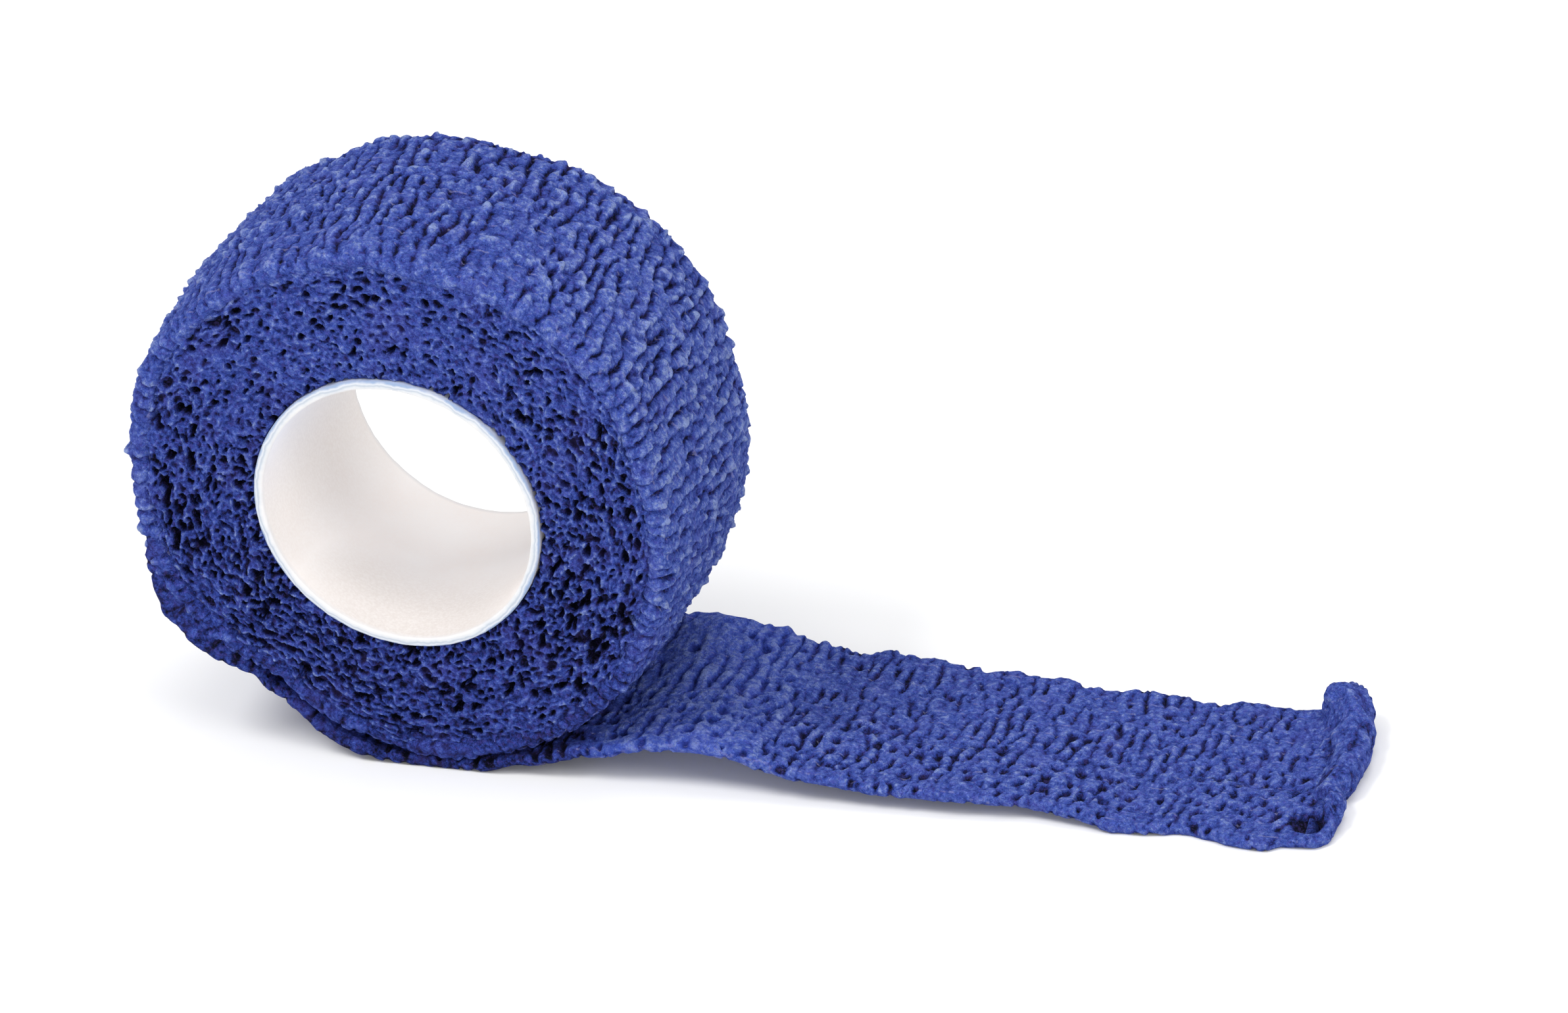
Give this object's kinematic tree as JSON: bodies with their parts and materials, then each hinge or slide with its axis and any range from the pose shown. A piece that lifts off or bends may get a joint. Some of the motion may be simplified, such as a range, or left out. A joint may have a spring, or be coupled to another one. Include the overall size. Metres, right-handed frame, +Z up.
{
  "type": "elastic compression bandage roll",
  "caption": "Roll of crinkled elastic bandage tape wound on a thin white tube, with the last turn slack and its loose end laid out flat and folded over at the tip.",
  "frame": {"origin": "on the flat spot under the roll, straight below its axis and half way across the tape", "axes": "+Z up, +X along the loose end away from the roll, Y along the roll's axis with the front end face towards -Y"},
  "size_m": [0.1176, 0.0255, 0.0561],
  "materials": {
    "crinkled_tape": "matt fibrous crepe, blue",
    "core_card": "smooth off-white tube"
  },
  "bodies": {
    "root": {"bandage": "crinkled_tape", "core": "core_card"}
  },
  "joints": []
}
